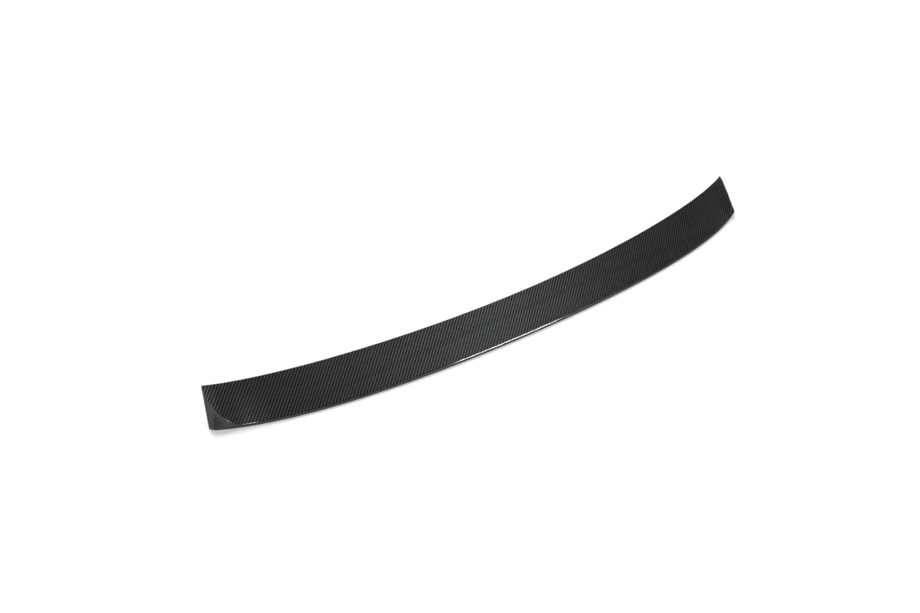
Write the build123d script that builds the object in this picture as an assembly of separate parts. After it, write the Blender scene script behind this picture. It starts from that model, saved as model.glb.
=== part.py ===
from build123d import *
from math import atan2, cos, hypot, pi, radians, sin, tan
import os

# Lip spoiler for the rear edge of a car's boot lid, moulded in one piece as a thin laminate shell.
# Millimetres. X runs across the car, Y points from the front base edge to the raised edge, Z is up.
# The base edges lie in the plane Z = 0. The shell is the same on both sides of the plane X = 0.

# Plan of the front base edge: its heading turns gently in the middle and more sharply towards the ends
edge_length = 1200.0
gentle_turn = 10.6
middle_turn = 11.6
end_turn = 9.7

# Cross-section: a low front wall, a straight sloping face and a thin raised edge
wall_height = 5.0
face_depth = 50.0
depth_rise = 24.3
depth_fall = 37.2
edge_height = 54.5
height_rise = 6.3
edge_thickness = 2.0
ridge_radius = 1.5

# Ends: the ridge on top of the wall climbs towards the tip and leaves a triangular end facet below it.
# The end leans outward, and the base corner under it is rounded
ridge_zone = 57.5
tip_rise = 6.7
end_tilt = 7.7
corner_zone = 14.0
corner_depth = 5.0

# Rear face: it leans forward under the raised edge and closes on the front wall at the tips
rear_lean = 12.0
closing_zone = 70.0
tip_rim = 3.2

# Hollow underside with a narrow bonding land turned inward along both base edges
laminate = 2.5
land_width = 7.6
land_thickness = 2.5
solid_tip = 16.0

# The shell is moulded a little too deep and its base is then trimmed flat
trim_allowance = 1.0

half_length = edge_length / 2


def heading(share):
    """Heading of the front base edge, in radians, at a share of the half length."""
    return radians(gentle_turn * share + middle_turn * share ** 3 + end_turn * share ** 7)


def plan_point(share):
    """Point of the front base edge, from the heading added up in small steps."""
    steps = 64
    step = share / steps
    x = sum(cos(heading((i + 0.5) * step)) for i in range(steps)) * step * half_length
    y = sum(sin(heading((i + 0.5) * step)) for i in range(steps)) * step * half_length
    return x, y


def toward(start, end, distance):
    """Point at a distance from start on the way to end."""
    span = hypot(end[0] - start[0], end[1] - start[1])
    return (
        start[0] + (end[0] - start[0]) * distance / span,
        start[1] + (end[1] - start[1]) * distance / span,
    )


def inset(start, end, distance):
    """The line from start to end, moved to its right by a distance."""
    span = hypot(end[0] - start[0], end[1] - start[1])
    across = (end[1] - start[1]) / span * distance
    along = (start[0] - end[0]) / span * distance
    return (start[0] + across, start[1] + along), (end[0] + across, end[1] + along)


def crossing(first, second):
    """Point where two straight lines cross."""
    (ax, ay), (bx, by) = first
    (cx, cy), (dx, dy) = second
    spread = (bx - ax) * (dy - cy) - (by - ay) * (dx - cx)
    t = ((cx - ax) * (dy - cy) - (cy - ay) * (dx - cx)) / spread
    return ax + (bx - ax) * t, ay + (by - ay) * t


def at_height(line, height):
    """Point of a line at a height."""
    return crossing(line, ((0.0, height), (1.0, height)))


def corners(share):
    """Corners of the cross-section as (depth behind the front base edge, height)."""
    to_end = (1 - abs(share)) * half_length
    depth = face_depth + depth_rise * share ** 2 - depth_fall * share ** 4
    height = edge_height + height_rise * share ** 4
    climb = (1 - tip_rise / (height - wall_height)) * max(0.0, 1 - to_end / ridge_zone) ** 2
    ridge = (depth * (2 * climb ** 2 - climb ** 3), wall_height + (height - wall_height) * climb)
    top = (depth, height)
    slope = atan2(height - ridge[1], depth - ridge[0])
    under = (depth + edge_thickness * sin(slope), height - edge_thickness * cos(slope))
    front = (corner_depth * max(0.0, 1 - to_end / corner_zone) ** 2, 0.0)
    closed = max(0.0, 1 - to_end / closing_zone) ** 2
    rear = ((depth - rear_lean) * (1 - closed) + (corner_depth + tip_rim) * closed, 0.0)
    return front, ridge, top, under, rear


def section_plane(share):
    """Plane across the strip: its x axis points backward and its y axis up, leaning outward at the ends."""
    x, y = plan_point(share)
    turn = heading(share)
    tilt = radians(end_tilt) * share ** 3
    normal = (cos(turn) * cos(tilt), sin(turn) * cos(tilt), -sin(tilt))
    return Plane(origin=(x, y, 0), x_dir=(-sin(turn), cos(turn), 0), z_dir=normal)


def outer_section(share):
    """Outline of the solid form, with a rounded ridge and a rounded raised edge."""
    front, ridge, top, under, rear = corners(share)
    front_trim = at_height((front, ridge), -trim_allowance)
    rear_trim = at_height((under, rear), -trim_allowance)
    lower = atan2(ridge[1] - front[1], ridge[0] - front[0])
    upper = atan2(top[1] - ridge[1], top[0] - ridge[0])
    bend = lower - upper
    reach = ridge_radius * tan(bend / 2)
    start = toward(ridge, front, reach)
    end = toward(ridge, top, reach)
    inward = (lower + upper) / 2 - pi / 2
    rise = ridge_radius / cos(bend / 2) - ridge_radius
    crown = (ridge[0] + rise * cos(inward), ridge[1] + rise * sin(inward))
    middle = ((top[0] + under[0]) / 2, (top[1] + under[1]) / 2)
    nose = (middle[0] + 0.3 * edge_thickness * cos(upper), middle[1] + 0.3 * edge_thickness * sin(upper))
    outline = [
        Line(front_trim, start),
        ThreePointArc(start, crown, end),
        Line(end, top),
        ThreePointArc(top, nose, under),
        Line(under, rear_trim),
        Line(rear_trim, front_trim),
    ]
    return section_plane(share) * make_face(outline)


def hollow_section(share):
    """Outline of the hollow, which narrows to the opening between the two bonding lands."""
    front, ridge, top, under, rear = corners(share)
    wall = inset(front, ridge, laminate)
    face = inset(ridge, top, laminate)
    back = inset(under, rear, laminate)
    land = land_width * rear[0] / (face_depth - rear_lean)
    front_low = at_height(wall, land_thickness)
    rear_low = at_height(back, land_thickness)
    front_gap = front_low[0] + land
    rear_gap = rear_low[0] - land
    outline = Polyline(
        (front_gap, -2 * trim_allowance),
        (front_gap, land_thickness),
        front_low,
        crossing(wall, face),
        crossing(face, back),
        rear_low,
        (rear_gap, land_thickness),
        (rear_gap, -2 * trim_allowance),
        close=True,
    )
    return section_plane(share) * make_face(outline)


def stations(start):
    """Shares of the half length for the cross-sections, from just past the middle to one end."""
    steps = 7
    zone = max(ridge_zone, closing_zone) * 1.1
    far = [half_length - (half_length - zone) * i / steps for i in range(-2, steps)]
    near = [start + (zone - start) * (i / steps) ** 2 for i in range(steps, -1, -1)]
    return [1 - to_end / half_length for to_end in far + near]


# One half, trimmed flat along its base and cut in the plane of symmetry, and its mirror image
solid_form = loft([outer_section(share) for share in stations(0.0)])
hollow = loft([hollow_section(share) for share in stations(solid_tip)])
below_base = Pos(0, 0, -trim_allowance) * Box(2 * edge_length, edge_length, 2 * trim_allowance)
past_middle = Pos(-half_length, 0, 0) * Box(edge_length, edge_length, edge_length)
half_shell = solid_form - hollow - below_base - past_middle
shell = half_shell + mirror(half_shell, Plane.YZ)

# The origin moves to the middle of the footprint
footprint = half_shell.bounding_box()
shell = Pos(0, -(footprint.min.Y + footprint.max.Y) / 2, 0) * shell
shell = shell.solid()
shell.label = "spoiler_shell"

os.makedirs("parts", exist_ok=True)
export_step(shell, "parts/spoiler_shell.step")
print("volume", round(shell.volume), "valid", shell.is_valid, "half size", footprint.size)
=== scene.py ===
# %% [markdown]
# # A lip spoiler for a boot lid
# The object is one moulded shell of woven black laminate under a clear lacquer. It has a long curved base,
# a face that slopes up to a thin edge, a low wall along the front and a triangular facet at each end.
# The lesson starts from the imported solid, so that the looks and the solid share one frame in metres.

from math import atan2, cos, hypot, radians, sin, sqrt, tan

import bpy
from mathutils import Matrix, Vector


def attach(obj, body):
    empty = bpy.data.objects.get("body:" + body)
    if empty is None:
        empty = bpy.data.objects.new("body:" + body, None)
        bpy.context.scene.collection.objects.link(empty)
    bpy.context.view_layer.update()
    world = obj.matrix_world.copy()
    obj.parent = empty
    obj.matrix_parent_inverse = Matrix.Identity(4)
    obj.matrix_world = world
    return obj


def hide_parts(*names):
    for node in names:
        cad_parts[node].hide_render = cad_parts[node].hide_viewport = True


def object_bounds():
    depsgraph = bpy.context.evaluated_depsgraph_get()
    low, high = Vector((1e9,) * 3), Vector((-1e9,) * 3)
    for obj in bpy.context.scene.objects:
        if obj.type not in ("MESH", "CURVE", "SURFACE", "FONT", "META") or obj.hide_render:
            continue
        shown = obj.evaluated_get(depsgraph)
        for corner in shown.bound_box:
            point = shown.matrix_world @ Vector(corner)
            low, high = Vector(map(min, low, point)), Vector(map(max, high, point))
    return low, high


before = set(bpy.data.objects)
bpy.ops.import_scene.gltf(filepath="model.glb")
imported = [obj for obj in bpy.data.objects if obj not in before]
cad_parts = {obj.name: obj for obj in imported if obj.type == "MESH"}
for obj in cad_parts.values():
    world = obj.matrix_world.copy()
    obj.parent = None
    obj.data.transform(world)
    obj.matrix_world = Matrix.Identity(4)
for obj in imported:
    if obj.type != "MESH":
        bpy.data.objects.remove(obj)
solid_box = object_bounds()
bpy.context.scene.view_settings.view_transform = "Standard"
print("solid from", tuple(solid_box[0]), "to", tuple(solid_box[1]))

# %% [markdown]
# ## The line along the base
# The front base edge is nearly straight in the middle and turns more and more towards the ends. One way to
# draw it is a curve object with handles. Here its heading is a short formula of the distance from the
# middle, and the line is the sum of small steps along that heading: the turn at each place is then known
# exactly, which the cross-sections need. All sizes are in millimetres until the mesh is made.

# %% Base line
metre = 1000.0
edge_length = 1200.0
half_length = edge_length / 2
gentle_turn, middle_turn, end_turn = 10.6, 11.6, 9.7
end_tilt = 7.7
line_steps = 64
base_point_at = {}


def heading(share):
    """Heading of the base line, in radians, at a share of the half length."""
    return radians(gentle_turn * share + middle_turn * share**3 + end_turn * share**7)


def base_point(share):
    step = share / line_steps
    turns = [heading((i + 0.5) * step) for i in range(line_steps)]
    x = sum(cos(turn) for turn in turns) * step * half_length
    y = sum(sin(turn) for turn in turns) * step * half_length
    return x, y


def place(share, depth, height):
    """A point of the section at this share of the half length, in the part's frame, in metres."""
    x, y = base_point_at[share]
    turn, tilt = heading(share), radians(end_tilt) * share**3
    x += -sin(turn) * depth + cos(turn) * sin(tilt) * height
    y += cos(turn) * depth + sin(turn) * sin(tilt) * height
    return Vector((x, y + solid_box[0].y * metre, cos(tilt) * height)) / metre


print("the line turns by", round(gentle_turn + middle_turn + end_turn, 1), "degrees from middle to end")

# %% [markdown]
# ## The cross-section
# A section has five corners: the front base edge, the ridge on top of the low wall, the raised edge, its
# underside and the rear base edge. Near the ends the ridge climbs towards the tip, which opens the
# triangular facet, and the rear base edge closes on the front one. The corners are rounded with short arcs,
# because a sharp modelled corner would show no highlight, while every real lacquered edge does. The ridge
# is rounded more than in the solid, which makes its line of light as strong as in the picture.

# %% Section corners
wall_height, face_depth, edge_height, edge_thickness = 5.0, 50.0, 54.5, 2.0
depth_rise, depth_fall, height_rise = 24.3, 37.2, 6.3
ridge_zone, tip_rise, corner_zone, corner_depth = 57.5, 6.7, 14.0, 5.0
rear_lean, closing_zone, tip_rim = 12.0, 70.0, 3.2
ridge_radius, base_radius, tip_radius = 3.0, 0.4, 0.5


def corners(share):
    """Corners of a section as (depth behind the front base edge, height)."""
    to_end = (1 - abs(share)) * half_length
    depth = face_depth + depth_rise * share**2 - depth_fall * share**4
    height = edge_height + height_rise * share**4
    climb = (1 - tip_rise / (height - wall_height)) * max(0.0, 1 - to_end / ridge_zone) ** 2
    ridge = (depth * (2 * climb**2 - climb**3), wall_height + (height - wall_height) * climb)
    top = (depth, height)
    slope = atan2(height - ridge[1], depth - ridge[0])
    under = (depth + edge_thickness * sin(slope), height - edge_thickness * cos(slope))
    front = (corner_depth * max(0.0, 1 - to_end / corner_zone) ** 2, 0.0)
    closed = max(0.0, 1 - to_end / closing_zone) ** 2
    rear = ((depth - rear_lean) * (1 - closed) + (corner_depth + tip_rim) * closed, 0.0)
    return front, ridge, top, under, rear


def between(start, end, share):
    return start[0] + (end[0] - start[0]) * share, start[1] + (end[1] - start[1]) * share


def rounded(before, corner, after, radius, steps):
    """Points of an arc that rounds a corner between two straight runs."""
    a = (Vector(before) - Vector(corner)).normalized()
    b = (Vector(after) - Vector(corner)).normalized()
    half = a.angle(b) / 2
    middle = Vector(corner) + (a + b).normalized() * radius / sin(half)
    first = Vector(corner) + a * radius / tan(half) - middle
    last = Vector(corner) + b * radius / tan(half) - middle
    start = atan2(first.y, first.x)
    sweep = atan2(first.x * last.y - first.y * last.x, first.dot(last))
    turns = [start + sweep * i / steps for i in range(steps + 1)]
    return [(middle.x + radius * cos(turn), middle.y + radius * sin(turn)) for turn in turns]


print("middle section", [tuple(round(c, 1) for c in corner) for corner in corners(0.0)])

# %% [markdown]
# ## The outer skin, run by run
# The outline of a section is cut into named runs: foot, wall, brink, crest, face, nose, back, heel.
# Each run always has the same number of points, so neighbouring sections can be joined with four-sided
# faces. The arc of the ridge is cut in two, a brink that belongs to the wall and a crest that has a finish
# of its own. Face and back get an extra row close to each end, which keeps the smooth shading of the arcs
# from spreading over the flat areas.

# %% Outer runs
base_steps, ridge_steps, brink_steps, nose_steps = 3, 8, 3, 8
face_steps, back_steps, extra_row = 12, 8, 0.012
wall_rows = [0.0, 0.1, 0.3, 0.5, 0.7, 0.9, 1.0]
nose_bulge = 0.3 * edge_thickness


def rows(steps):
    """Even shares of a run, with one more row close to each end."""
    return [0.0, extra_row] + [i / steps for i in range(1, steps)] + [1.0 - extra_row, 1.0]


def run(start, end, shares):
    return [between(start, end, share) for share in shares]


def nose_arc(ridge, top, under):
    """The raised edge, a shallow arc from its upper corner to its lower one."""
    along = (Vector(top) - Vector(ridge)).normalized()
    across = (Vector(top) - Vector(under)).normalized()
    middle = (Vector(top) + Vector(under)) / 2
    radius = (edge_thickness**2 / 4 + nose_bulge**2) / (2 * nose_bulge)
    centre = middle + along * (nose_bulge - radius)
    reach = atan2(edge_thickness / 2, radius - nose_bulge)
    swing = [reach * (1 - 2 * i / nose_steps) for i in range(nose_steps + 1)]
    return [tuple(centre + along * radius * cos(a) + across * radius * sin(a)) for a in swing]


def outer_runs(share):
    front, ridge, top, under, rear = corners(share)
    foot = rounded(rear, front, ridge, base_radius, base_steps)
    crest = rounded(front, ridge, top, ridge_radius, ridge_steps)
    heel = rounded(under, rear, front, base_radius, base_steps)
    return {
        "foot": foot,
        "wall": run(foot[-1], crest[0], wall_rows),
        "brink": crest[: brink_steps + 1],
        "crest": crest[brink_steps:],
        "face": run(crest[-1], top, rows(face_steps)),
        "nose": nose_arc(ridge, top, under),
        "back": run(under, heel[0], rows(back_steps)),
        "heel": heel,
    }


run_names = list(outer_runs(0.0))
print("points in each run", {name: len(points) for name, points in outer_runs(0.0).items()})

# %% [markdown]
# ## The hollow underside
# Seen from below, the shell is a thin laminate with a narrow land turned inward along both base edges, where
# the adhesive goes. The inner outline is the outer one moved inward by the laminate's thickness. The last
# stretch at each tip is too thin for a hollow and stays solid.

# %% Inner run
laminate, land_width, land_thickness, solid_tip = 2.5, 7.6, 2.5, 16.0
skin_steps = 5


def moved_in(start, end):
    """The line from start to end, moved to its right by the laminate's thickness."""
    span = hypot(end[0] - start[0], end[1] - start[1])
    side = ((end[1] - start[1]) / span * laminate, (start[0] - end[0]) / span * laminate)
    return (start[0] + side[0], start[1] + side[1]), (end[0] + side[0], end[1] + side[1])


def crossing(first, second):
    """Point where two straight lines cross."""
    (ax, ay), (bx, by) = first
    (cx, cy), (dx, dy) = second
    spread = (bx - ax) * (dy - cy) - (by - ay) * (dx - cx)
    t = ((cx - ax) * (dy - cy) - (cy - ay) * (dx - cx)) / spread
    return ax + (bx - ax) * t, ay + (by - ay) * t


def inner_run(share):
    """From the rear land's lower edge over the inner skin to the front land's lower edge."""
    front, ridge, top, under, rear = corners(share)
    wall, face, back = moved_in(front, ridge), moved_in(ridge, top), moved_in(under, rear)
    level = ((0.0, land_thickness), (1.0, land_thickness))
    land = land_width * rear[0] / (face_depth - rear_lean)
    front_low, rear_low = crossing(wall, level), crossing(back, level)
    low, high = crossing(wall, face), crossing(face, back)
    steps = [i / skin_steps for i in range(skin_steps + 1)]
    skin = run(rear_low, high, steps) + run(high, low, steps)[1:] + run(low, front_low, [0.5, 1.0])
    rear_gap, front_gap = rear_low[0] - land, front_low[0] + land
    start = [(rear_gap, 0.0), (rear_gap, land_thickness)]
    return start + skin + [(front_gap, land_thickness), (front_gap, 0.0)]


print("opening between the lands, middle", round(inner_run(0.0)[0][0] - inner_run(0.0)[-1][0], 1), "mm")

# %% [markdown]
# ## Where the sections stand
# The ends change quickly and the long middle slowly, so the sections crowd together near the ends. The very
# last ones shrink a little, as a quarter circle does, which rounds the rim of the tip.

# %% Section stations
rim_stations = [0.0, 0.07, 0.25, tip_radius]
end_zone, end_sections, crowding, middle_sections = 77.0, 44, 1.6, 64
near = [tip_radius + end_zone * (i / end_sections) ** crowding for i in range(1, end_sections + 1)]
near = sorted(set(rim_stations + near + [solid_tip]))
middle_start = tip_radius + end_zone
middle_zone = half_length - middle_start
far = [middle_start + middle_zone * i / middle_sections for i in range(1, middle_sections + 1)]
right_half = [1 - to_end / half_length for to_end in far[::-1] + near[::-1]]
shares = [-share for share in right_half[::-1]][:-1] + right_half
for share in shares:
    base_point_at[share] = base_point(share)
print("sections", len(shares), "from", shares[0], "to", shares[-1])

# %% [markdown]
# ## Cloth coordinates
# The cloth was laid straight into the mould, so on the sloping face its threads keep one direction in space
# while the shell curves away under them. A flat projection along the middle of the face gives just that.
# Wall and end facet are a separate strip of cloth on the bias, and the back is a third one. Each corner of
# each face stores its own coordinates, counted in tows, so two strips of cloth can meet in one edge.

# %% Cloth coordinates
tow = 5.0 / 3
tows_in_repeat = 4.0
face_slope = atan2(edge_height - wall_height, face_depth)


def cloth_flat(share, point, spot, length):
    up_the_face = spot.y * cos(face_slope) + spot.z * sin(face_slope)
    return spot.x * metre / tow, up_the_face * metre / tow


def cloth_bias(share, point, spot, length):
    along, up = share * half_length, point[1]
    return (along + up) / sqrt(2) / tow, (up - along) / sqrt(2) / tow


def cloth_back(share, point, spot, length):
    return spot.x * metre / tow, length / tow


cloth_of = {"foot": cloth_bias, "wall": cloth_bias, "brink": cloth_bias}
cloth_of |= {"crest": cloth_flat, "face": cloth_flat, "nose": cloth_flat}
cloth_of |= {"back": cloth_back, "heel": cloth_back}
print("one repeat of the twill is", round(tows_in_repeat * tow, 2), "mm")

# %% [markdown]
# ## The shell's mesh
# Every section becomes one ring of vertices: first the outer runs, then the base and the inner skin. In the
# solid tips the inner skin is missing and the base closes instead. A curve with a bevel profile could sweep
# one section along the base, but not a section whose corners move along the way.

# %% Rings of the shell
points = []
# Smallest lengths that count, in a section in millimetres and between two vertices in metres
hair, weld = 1e-6, 1e-7


def add_point(spot):
    points.append(spot)
    return len(points) - 1


def apart(a, b):
    return hypot(a[0] - b[0], a[1] - b[1]) > hair


def shrunk(outline, amount):
    """A closed outline, clockwise from the foot, moved inward by a small amount."""
    moved = []
    for i, here in enumerate(outline):
        before = next(p for p in outline[i - 1 :: -1] + outline[::-1] if apart(p, here))
        after = next(p for p in outline[i + 1 :] + outline if apart(p, here))
        d = (Vector(after) - Vector(here)).normalized() + (Vector(here) - Vector(before)).normalized()
        side = Vector((d.y, -d.x)).normalized()
        moved.append((here[0] + side.x * amount, here[1] + side.y * amount))
    return moved


def ring(share):
    """Vertices and cloth coordinates of one section: its outer strips, its base, and if it is hollow."""
    to_end = (1 - abs(share)) * half_length
    runs = outer_runs(share)
    flat = [p for points_of_run in runs.values() for p in points_of_run]
    if to_end < tip_radius - hair:
        flat = shrunk(flat, tip_radius - sqrt(tip_radius**2 - (tip_radius - to_end) ** 2))
    strips, last, taken, length = [], None, 0, 0.0
    for name, points_of_run in runs.items():
        strip = []
        for k in range(len(points_of_run)):
            point = flat[taken + k]
            spot = place(share, *point)
            # The back's cloth starts at its upper edge
            length = 0.0 if name == "back" and k == 0 else length
            same = last is not None and (points[last] - spot).length < weld
            if last is not None:
                length += (points[last] - spot).length * metre
            last = last if same else add_point(spot)
            strip.append((last, cloth_of[name](share, point, spot, length)))
        taken += len(points_of_run)
        strips.append(strip)
    hollow = to_end > solid_tip - hair
    if hollow:
        base = inner_run(share)
    else:
        base = [between(flat[0], flat[-1], part) for part in base_parts]
    strip = [strips[-1][-1]]
    for point in base:
        spot = place(share, *point)
        length += (points[last] - spot).length * metre
        last = add_point(spot)
        strip.append((last, cloth_back(share, point, spot, length)))
    first = strips[0][0][0]
    length += (points[last] - points[first]).length * metre
    strip.append((first, cloth_back(share, flat[0], points[first], length)))
    return strips, strip, hollow


# In the solid tips the base keeps the two lines along which the lands end
tip_share = 1 - solid_tip / half_length
inner_at_tip = inner_run(tip_share)
front_at_tip, rear_at_tip = corners(tip_share)[::4]
span = rear_at_tip[0] - front_at_tip[0]
base_parts = [(inner_at_tip[i][0] - front_at_tip[0]) / span for i in (0, -1)]
rings = [ring(share) for share in shares]
print("vertices", len(points), "solid tip base at", [round(part, 2) for part in base_parts])

# %% [markdown]
# ## Joining the rings
# Two neighbouring rings are joined run by run with four-sided faces. Two flat faces close the tips. Where
# one ring is hollow and the next is solid, the inner skin ends in a small flat wall. Every face also gets
# the number of its finish.

# %% Faces of the shell
faces, face_cloth, face_finish = [], [], []
finish_lacquer, finish_raw, finish_bias, finish_ridge = 0, 1, 2, 3
finish_of = {"foot": finish_bias, "wall": finish_bias, "brink": finish_bias, "crest": finish_ridge}


def add_face(rim, finish):
    faces.append([number for number, cloth in rim])
    face_cloth.append([cloth for number, cloth in rim])
    face_finish.append(finish)


def join(left, right, finish):
    for k in range(len(left) - 1):
        rim = [right[k], right[k + 1], left[k + 1], left[k]]
        if len({number for number, cloth in rim}) == 4:
            add_face(rim, finish)


def base_only(strip, hollow):
    return [strip[0], strip[1], strip[-2], strip[-1]] if hollow else strip


for (left, left_base, left_hollow), (right, right_base, right_hollow) in zip(rings, rings[1:]):
    for name, a, b in zip(run_names, left, right):
        join(a, b, finish_of.get(name, finish_lacquer))
    if left_hollow and right_hollow:
        join(left_base, right_base, finish_raw)
    else:
        join(base_only(left_base, left_hollow), base_only(right_base, right_hollow), finish_raw)

for number, facing in ((0, 1), (len(rings) - 1, -1)):
    strips, base = rings[number][:2]
    rim = [c for strip in strips for c in strip] + base[1:-1]
    rim = [c for k, c in enumerate(rim) if c[0] != rim[k - 1][0]]
    add_face(rim[::facing], finish_lacquer)

hollow_rings = [base for strips, base, hollow in rings if hollow]
for base, facing in ((hollow_rings[0], 1), (hollow_rings[-1], -1)):
    add_face(base[1:-1][::facing], finish_raw)
print("faces", len(faces))

# %% [markdown]
# ## From lists to an object
# The lists become a mesh with one layer of cloth coordinates. Faces are shaded smooth, and edges that turn
# by more than 35 degrees stay sharp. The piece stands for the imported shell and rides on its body.

# %% Shell object
sharp_angle = radians(35)
mesh = bpy.data.meshes.new("shell")
mesh.from_pydata(points, [], faces)
layer = mesh.uv_layers.new(name="cloth")
spots = [spot for cloth in face_cloth for spot in cloth]
layer.data.foreach_set("uv", [value for spot in spots for value in spot])
mesh.polygons.foreach_set("material_index", face_finish)
mesh.polygons.foreach_set("use_smooth", [True] * len(faces))
mesh.set_sharp_from_angle(angle=sharp_angle)
mesh.update()
shell = bpy.data.objects.new("shell", mesh)
bpy.context.scene.collection.objects.link(shell)
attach(shell, "root")
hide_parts("spoiler_shell")
print("shell", len(mesh.vertices), "vertices", len(mesh.polygons), "faces", "valid", not mesh.validate())

# %% [markdown]
# ## The twill weave
# In a 2x2 twill each tow passes over two others and under two, and the pattern steps by one tow per row,
# which draws the diagonal lines. An image could be tiled over the face, but a formula stays sharp at any
# distance: whole tows give the row and column, and their difference modulo four says which tow is on top.
# A lengthwise tow is on top at steps 0 and 1 of the repeat, a crosswise one at steps 2 and 3. Two more
# values say how far a place lies from the middle of its tow, across it and along the stretch on top.

# %% Twill pattern
def socket_value(node, number, value):
    """Sets an input to a number, or links it to another node's output."""
    if isinstance(value, (int, float)):
        node.inputs[number].default_value = value
    else:
        node.id_data.links.new(value, node.inputs[number])


def calc(tree, operation, *values):
    node = tree.nodes.new("ShaderNodeMath")
    node.operation = operation
    for number, value in enumerate(values):
        socket_value(node, number, value)
    return node.outputs[0]


def pick(tree, mask, low, high):
    """low where the mask is 0, high where it is 1."""
    step = calc(tree, "SUBTRACT", high, low)
    return calc(tree, "MULTIPLY_ADD", step, mask, low)


weave = bpy.data.node_groups.new("twill_weave", "ShaderNodeTree")
weave.interface.new_socket("Cloth", in_out="INPUT", socket_type="NodeSocketVector")
for name in ("Crown", "Dip", "Crosswise"):
    weave.interface.new_socket(name, in_out="INPUT", socket_type="NodeSocketFloat")
weave.interface.new_socket("Normal", in_out="OUTPUT", socket_type="NodeSocketColor")
weave.interface.new_socket("Sheen_with_painted_shade", in_out="OUTPUT", socket_type="NodeSocketFloat")
given = weave.nodes.new("NodeGroupInput")
result = weave.nodes.new("NodeGroupOutput")


def step_of_repeat(ahead, behind):
    difference = calc(weave, "SUBTRACT", ahead, behind)
    return calc(weave, "FLOORED_MODULO", difference, tows_in_repeat)


split = weave.nodes.new("ShaderNodeSeparateXYZ")
weave.links.new(given.outputs["Cloth"], split.inputs[0])
p, q = split.outputs[0], split.outputs[1]
column, row = calc(weave, "FLOOR", p), calc(weave, "FLOOR", q)
lengthwise = calc(weave, "LESS_THAN", step_of_repeat(column, row), 1.5)
across_p = calc(weave, "SUBTRACT", calc(weave, "SUBTRACT", p, column), 0.5)
across_q = calc(weave, "SUBTRACT", calc(weave, "SUBTRACT", q, row), 0.5)
over_p = calc(weave, "SUBTRACT", step_of_repeat(p, row), 1.0)
over_q = calc(weave, "SUBTRACT", step_of_repeat(q, column), 2.0)
print("nodes for the pattern", len(weave.nodes))

# %% [markdown]
# ## Tilt of the tows
# A tow has a round back, so its surface tilts more and more towards its two edges, and it dips where it goes
# under its neighbours. The group puts out that tilt as a normal colour, which is half the direction plus
# one half.

# %% Twill normal
half = (0.5, 0.5, 0.5)
# Across is 0.5 at the edge of a tow, so twice the crown gives the crown itself there
crown_tilt = calc(weave, "MULTIPLY", given.outputs["Crown"], 2.0)
dip_tilt = given.outputs["Dip"]
back_p = calc(weave, "MULTIPLY", across_p, crown_tilt)
back_q = calc(weave, "MULTIPLY", across_q, crown_tilt)
dive_p = calc(weave, "MULTIPLY", over_p, dip_tilt)
dive_q = calc(weave, "MULTIPLY", over_q, dip_tilt)
tilt = weave.nodes.new("ShaderNodeCombineXYZ")
socket_value(tilt, 0, pick(weave, lengthwise, back_p, dive_p))
socket_value(tilt, 1, pick(weave, lengthwise, dive_q, back_q))
socket_value(tilt, 2, 1.0)
unit = weave.nodes.new("ShaderNodeVectorMath")
unit.operation = "NORMALIZE"
weave.links.new(tilt.outputs[0], unit.inputs[0])
coded = weave.nodes.new("ShaderNodeVectorMath")
coded.operation = "MULTIPLY_ADD"
weave.links.new(unit.outputs[0], coded.inputs[0])
coded.inputs[1].default_value = half
coded.inputs[2].default_value = half
weave.links.new(coded.outputs[0], result.inputs["Normal"])
print("nodes with the normal", len(weave.nodes))

# %% [markdown]
# ## The tows' sheen, with painted shade
# The second output sets how much the fibres reflect. It fades in the gaps between the tows and where a tow
# dives, which is painted shade. It differs a little from tow to tow, and fine streaks along each tow stand
# for its fibres. The crosswise tows lie turned away from the light here, so an input paints them darker than
# the lengthwise ones, painted shade as well.

# %% Twill sheen
gap_slope, gap_softness = 8.0, 0.3
tow_spread = 0.25
streak_span, streak_low = 0.8, 0.6
streaks_across, streaks_along, streak_detail = 14.0, 0.3, 2.0
first_crosswise = 4000.0

across = pick(weave, lengthwise, across_p, across_q)
over = pick(weave, lengthwise, over_q, over_p)
along = pick(weave, lengthwise, q, p)
# Painted shade: back darkens the fibres' colour in the gaps between the tows, and rise where a tow dives
room = calc(weave, "SUBTRACT", 0.5, calc(weave, "ABSOLUTE", across))
back = calc(weave, "SMOOTH_MIN", calc(weave, "MULTIPLY", room, gap_slope), 1.0, gap_softness)
rise = calc(weave, "SUBTRACT", 1.0, calc(weave, "MULTIPLY", over, over))
number_of_tow = pick(weave, lengthwise, calc(weave, "ADD", column, first_crosswise), row)
chance = weave.nodes.new("ShaderNodeTexWhiteNoise")
chance.noise_dimensions = "1D"
weave.links.new(number_of_tow, chance.inputs["W"])
fine = weave.nodes.new("ShaderNodeCombineXYZ")
socket_value(fine, 0, calc(weave, "MULTIPLY", across, streaks_across))
socket_value(fine, 1, calc(weave, "MULTIPLY", along, streaks_along))
socket_value(fine, 2, number_of_tow)
streaks = weave.nodes.new("ShaderNodeTexNoise")
streaks.inputs["Scale"].default_value = 1.0
streaks.inputs["Detail"].default_value = streak_detail
weave.links.new(fine.outputs[0], streaks.inputs["Vector"])
fibres = calc(weave, "MULTIPLY_ADD", streaks.outputs["Fac"], streak_span, streak_low)
tone_with_crosswise_shade = calc(weave, "MULTIPLY_ADD", chance.outputs["Value"], tow_spread, 1.0 - tow_spread)
tone_with_crosswise_shade = calc(weave, "MULTIPLY", tone_with_crosswise_shade, fibres)
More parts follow.
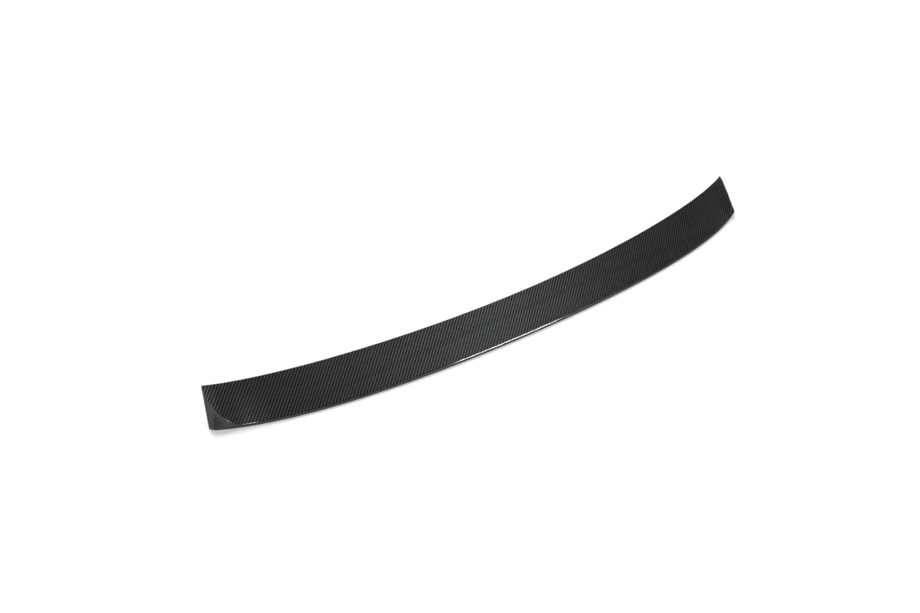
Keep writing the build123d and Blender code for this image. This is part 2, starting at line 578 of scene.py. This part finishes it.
# Painted shade: the crosswise tows get a darker colour, as they face away from the light
tone_with_crosswise_shade = calc(weave, "MULTIPLY", tone_with_crosswise_shade, pick(weave, lengthwise, given.outputs["Crosswise"], 1.0))
sheen_with_painted_shade = calc(weave, "MULTIPLY", calc(weave, "MULTIPLY", back, rise), tone_with_crosswise_shade)
weave.links.new(sheen_with_painted_shade, result.inputs["Sheen_with_painted_shade"])
print("nodes of the weave", len(weave.nodes))

# %% [markdown]
# ## Lacquered laminate
# The fibres are dark and shine like brushed metal: each tow's round back catches the light as a line. Above
# them lies a thick clear lacquer with its own sharp reflection. The shader's coat layer is that lacquer. It
# keeps the smooth normal of the shell, while the layer below takes the tilt of the tows. A grey specular
# tint keeps the fibres from turning bright where they are seen at a flat angle.

# %% Lacquered laminate
lacquer_roughness = 0.08
fibre_dark, fibre_bright = (0.004, 0.004, 0.0042), (0.3, 0.3, 0.306)
# A mix node has inputs for every kind of data; these are the places of its two colours and of its result
first_colour, second_colour, mixed_colour = 6, 7, 2


def laminate_material(name, dark, light, roughness, **weave_values):
    """A material with the twill weave, and its shader."""
    material = bpy.data.materials.new(name)
    material.use_nodes = True
    tree = material.node_tree
    shader = tree.nodes["Principled BSDF"]
    cloth = tree.nodes.new("ShaderNodeUVMap")
    cloth.uv_map = "cloth"
    twill = tree.nodes.new("ShaderNodeGroup")
    twill.node_tree = weave
    for input_name, value in weave_values.items():
        twill.inputs[input_name].default_value = value
    tree.links.new(cloth.outputs[0], twill.inputs["Cloth"])
    bend = tree.nodes.new("ShaderNodeNormalMap")
    bend.uv_map = "cloth"
    tree.links.new(twill.outputs["Normal"], bend.inputs["Color"])
    tree.links.new(bend.outputs[0], shader.inputs["Normal"])
    colour = tree.nodes.new("ShaderNodeMix")
    colour.data_type = "RGBA"
    colour.inputs[first_colour].default_value = (*dark, 1.0)
    colour.inputs[second_colour].default_value = (*light, 1.0)
    # The sheen, with its painted shade in the gaps, at the dives and on the crosswise tows, sets the fibres'
    # colour
    tree.links.new(twill.outputs["Sheen_with_painted_shade"], colour.inputs[0])
    tree.links.new(colour.outputs[mixed_colour], shader.inputs["Base Color"])
    shader.inputs["Roughness"].default_value = roughness
    return material, shader


def lacquer(shader, weight, grazing):
    """Makes the fibres shine like metal and lays the clear coat over them."""
    shader.inputs["Metallic"].default_value = 1.0
    shader.inputs["Specular Tint"].default_value = (grazing, grazing, grazing, 1.0)
    shader.inputs["Coat Weight"].default_value = weight
    shader.inputs["Coat Roughness"].default_value = lacquer_roughness


# The crosswise tows get a quarter of the sheen: painted shade
lacquered, lacquered_shader = laminate_material(
    "lacquered_laminate", fibre_dark, fibre_bright, roughness=0.3, Crown=0.35, Dip=0.12, Crosswise=0.25
)
lacquer(lacquered_shader, weight=1.0, grazing=0.4)
mesh.materials.append(lacquered)
print("made", lacquered.name)

# %% [markdown]
# ## The raw inside
# The inside was against the vacuum bag: the same cloth, but with a thin uneven film of resin and no lacquer,
# so it is matt and a little greyer. It uses the same weave group with flatter tows.

# %% Raw inside
raw_dark, raw_light = (0.006, 0.006, 0.006), (0.035, 0.035, 0.036)
# The crosswise tows get a quarter of the sheen here too: painted shade
raw_inside = laminate_material(
    "raw_inside", raw_dark, raw_light, roughness=0.55, Crown=0.3, Dip=0.1, Crosswise=0.25
)[0]
mesh.materials.append(raw_inside)
print("made", raw_inside.name)

# %% [markdown]
# ## The bias strip, with painted shade
# The low wall and the end facets are one strip of cloth that was cut on the slant. They get the same finish
# with a thinner coat and duller, darker fibres, which is painted shade: it keeps these upright areas darker
# than the face.

# %% Bias strip
# A darker fibre colour and a thinner coat for the upright strip: painted shade
strip_bright_painted_shade = (0.15, 0.15, 0.153)
bias_strip_painted_shade, strip_shader = laminate_material(
    "bias_strip_painted_shade", fibre_dark, strip_bright_painted_shade, roughness=0.3, Crown=0.2, Dip=0.08, Crosswise=0.75
)
lacquer(strip_shader, weight=0.06, grazing=0.12)
mesh.materials.append(bias_strip_painted_shade)
print("made", bias_strip_painted_shade.name)

# %% [markdown]
# ## The ridge
# Cloth can't be pressed into a tight corner of the mould, so clear resin fills the rounded ridge. It is
# nearly black and shows hardly any weave, and the lacquer on it draws one clean line of light. The coat's
# index is higher than that of real lacquer, which brings the line to the brightness it has in the picture.

# %% Ridge
resin_bright = (0.015, 0.015, 0.0153)
resin_ridge, ridge_shader = laminate_material(
    "resin_ridge", fibre_dark, resin_bright, roughness=0.3, Crown=0.1, Dip=0.05, Crosswise=0.8
)
lacquer(ridge_shader, weight=1.0, grazing=0.4)
ridge_shader.inputs["Coat IOR"].default_value = 2.0
mesh.materials.append(resin_ridge)
print("made", resin_ridge.name)

# %% [markdown]
# ## Floor
# The shell lies on a white table. For the camera and for reflections the floor adds some light of its own,
# so that it reads as white, and the rest comes from the lamps, so that the shell still throws a soft shadow.
# The panels light the table less and less away from the shell, so its own light grows with the distance.

# %% Floor
table_size, table_gap, table_white = 80.0, 0.0002, 0.8
glow_near, glow_far, fade_start, fade_end = 0.3, 0.55, 0.9, 3.0

bpy.ops.mesh.primitive_plane_add(size=table_size, location=(0.0, 0.0, -table_gap))
floor_plane = bpy.context.object
floor_plane.name = "floor"
paper = bpy.data.materials.new("white_table")
paper.use_nodes = True
tree = paper.node_tree
tree.nodes.remove(tree.nodes["Principled BSDF"])
output = tree.nodes["Material Output"]
matt = tree.nodes.new("ShaderNodeBsdfDiffuse")
matt.inputs["Color"].default_value = (table_white, table_white, table_white, 1.0)
glow = tree.nodes.new("ShaderNodeEmission")
ground = tree.nodes.new("ShaderNodeTexCoord")
away = tree.nodes.new("ShaderNodeVectorMath")
away.operation = "LENGTH"
tree.links.new(ground.outputs["Object"], away.inputs[0])
fade = tree.nodes.new("ShaderNodeMapRange")
fade.interpolation_type = "SMOOTHSTEP"
for number, value in enumerate((fade_start, fade_end, glow_near, glow_far), start=1):
    fade.inputs[number].default_value = value
tree.links.new(away.outputs["Value"], fade.inputs[0])
tree.links.new(fade.outputs[0], glow.inputs["Color"])
both = tree.nodes.new("ShaderNodeAddShader")
tree.links.new(matt.outputs[0], both.inputs[0])
tree.links.new(glow.outputs[0], both.inputs[1])
path = tree.nodes.new("ShaderNodeLightPath")
seen = calc(tree, "MAXIMUM", path.outputs["Is Camera Ray"], path.outputs["Is Glossy Ray"])
seen = calc(tree, "MAXIMUM", seen, path.outputs["Is Transmission Ray"])
choose = tree.nodes.new("ShaderNodeMixShader")
tree.links.new(seen, choose.inputs[0])
tree.links.new(matt.outputs[0], choose.inputs[1])
tree.links.new(both.outputs[0], choose.inputs[2])
tree.links.new(choose.outputs[0], output.inputs["Surface"])
floor_plane.data.materials.append(paper)
print("floor", tuple(floor_plane.dimensions))

# %% [markdown]
# ## Light
# One broad light falls from behind and throws the short shadow in front of the near end. It hardly touches
# the sloping face, so the weave has lights of its own. A large panel overhead lights the near half, a panel
# high on the right the middle, and two small ones the far end. Low panels at the front are mirrored in the
# lacquer: one draws the bright line along the ridge, one the highlight on the crease, and one brightens the
# end facet. Angles are counted from the part's right-hand end and up from the table. The room itself is
# nearly dark, because the sloping face mirrors it.

# %% Lamps and room
window_angle = radians(14)
room_grey = 0.07
# Name, angle around the part, angle up, distance, width, height, power
panels = (
    ("overhead", 90, 85, 3.0, 2.0, 2.0, 11.5),
    ("right_high", -20, 60, 2.5, 0.8, 0.8, 6.0),
    ("right_middle", 0, 38, 2.6, 0.4, 0.4, 0.8),
    ("right_low", 10, 18, 2.8, 0.6, 0.4, 3.0),
    ("ridge_line", -60.5, 5.0, 2.6, 0.66, 0.3, 36.0),
    ("crease", -122, 18, 2.6, 0.7, 0.2, 11.0),
    ("facet", -170, 8, 2.6, 0.8, 0.5, 3.0),
)


def add_light(name, kind, around, up, distance, power):
    light = bpy.data.lights.new(name, kind)
    light.energy = power
    made = bpy.data.objects.new(name, light)
    bpy.context.scene.collection.objects.link(made)
    turn, lift = radians(around), radians(up)
    direction = Vector((cos(lift) * cos(turn), cos(lift) * sin(turn), sin(lift)))
    made.location = direction * distance
    made.rotation_euler = direction.to_track_quat("Z", "Y").to_euler()
    made.visible_camera = False
    return light


window = add_light("back_light", "SUN", around=74, up=46.5, distance=3.0, power=2.75)
window.angle = window_angle
for name, around, up, distance, width, height, power in panels:
    light = add_light(name, "AREA", around, up, distance, power)
    light.shape = "RECTANGLE"
    light.size, light.size_y = width, height
world = bpy.data.worlds.new("room")
bpy.context.scene.world = world
world.use_nodes = True
world.node_tree.nodes["Background"].inputs["Color"].default_value = (room_grey, room_grey, room_grey, 1.0)

# %% [markdown]
# ## Camera
# The picture was taken from the front left, about 31 degrees above the table, with a moderately long lens.
# Place, target, roll and lens were fitted to the outline of the spoiler in the picture.

# %% Camera
picture_width, focal_pixels = 920, 1803.8
spot = Vector((-1.71595, -2.009, 1.62535))
target = Vector((-0.04785, 0.07638, 0.0))
roll = radians(0.082)
half_pixel = 0.5 / picture_width

lens = bpy.data.cameras.new("camera")
lens.sensor_fit = "HORIZONTAL"
lens.sensor_width = 36.0
lens.lens = lens.sensor_width * focal_pixels / picture_width
lens.shift_x, lens.shift_y = -half_pixel, half_pixel
lens.clip_end = 100.0
camera = bpy.data.objects.new("camera", lens)
bpy.context.scene.collection.objects.link(camera)
ahead = (target - spot).normalized()
level = ahead.cross(Vector((0, 0, 1))).normalized()
upright = level.cross(ahead)
side = level * cos(roll) + upright * sin(roll)
rise = upright * cos(roll) - level * sin(roll)
camera.matrix_world = Matrix.Translation(spot) @ Matrix((side, rise, -ahead)).transposed().to_4x4()
bpy.context.scene.camera = camera
print("camera", tuple(round(c, 3) for c in spot), "lens", round(lens.lens, 2), "mm")
